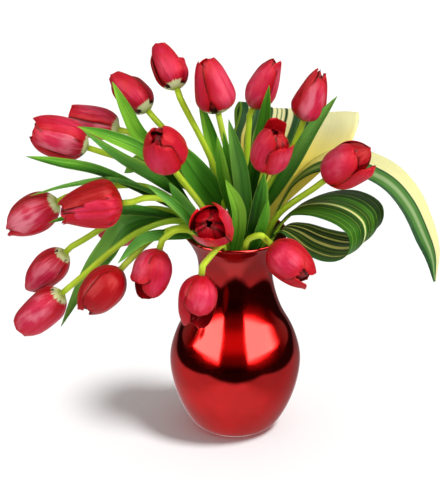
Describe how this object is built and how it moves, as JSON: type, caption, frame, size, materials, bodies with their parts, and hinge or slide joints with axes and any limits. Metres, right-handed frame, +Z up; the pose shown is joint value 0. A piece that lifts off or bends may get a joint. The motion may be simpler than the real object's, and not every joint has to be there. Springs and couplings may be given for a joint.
{
  "type": "tulips in a vase",
  "caption": "Loose bunch of red tulips and striped leaves leaning out of a round-bellied vase with a narrow neck and a flared rim, filled with water.",
  "frame": {"origin": "centre of the vase's flat foot, on the surface that it stands on", "axes": "+Z up along the vase's axis, -Y towards the viewer, +X to the viewer's right"},
  "size_m": [0.4359, 0.2165, 0.3982],
  "materials": {
    "vase": "opaque metallic red coat, polished nearly to a mirror",
    "water": "clear liquid",
    "petal": "satin petal, crimson with a rose sheen and a cream base",
    "tulip_green": "satin leaf, with a paler yellow-green stem",
    "striped_leaf": "glossy leaf, dark green with cream stripes along it"
  },
  "bodies": {
    "root": {"vase": "vase", "water": "water", "tulip_01_stem": "tulip_green", "tulip_01_bloom": "petal", "tulip_02_stem": "tulip_green", "tulip_02_bloom": "petal", "tulip_03_stem": "tulip_green", "tulip_03_bloom": "petal", "tulip_04_stem": "tulip_green", "tulip_04_bloom": "petal", "tulip_05_stem": "tulip_green", "tulip_05_bloom": "petal", "tulip_06_stem": "tulip_green", "tulip_06_bloom": "petal", "tulip_07_stem": "tulip_green", "tulip_07_bloom": "petal", "tulip_08_stem": "tulip_green", "tulip_08_bloom": "petal", "tulip_09_stem": "tulip_green", "tulip_09_bloom": "petal", "tulip_10_stem": "tulip_green", "tulip_10_bloom": "petal", "tulip_11_stem": "tulip_green", "tulip_11_bloom": "petal", "tulip_12_stem": "tulip_green", "tulip_12_bloom": "petal", "tulip_13_stem": "tulip_green", "tulip_13_bloom": "petal", "tulip_14_stem": "tulip_green", "tulip_14_bloom": "petal", "tulip_15_stem": "tulip_green", "tulip_15_bloom": "petal", "tulip_16_stem": "tulip_green", "tulip_16_bloom": "petal", "tulip_17_stem": "tulip_green", "tulip_17_bloom": "petal", "tulip_18_stem": "tulip_green", "tulip_18_bloom": "petal", "tulip_19_stem": "tulip_green", "tulip_19_bloom": "petal", "tulip_20_stem": "tulip_green", "tulip_20_bloom": "petal", "striped_leaf_low_loop": "striped_leaf", "striped_leaf_back_loop": "striped_leaf", "striped_leaf_drooping": "striped_leaf"}
  },
  "joints": []
}
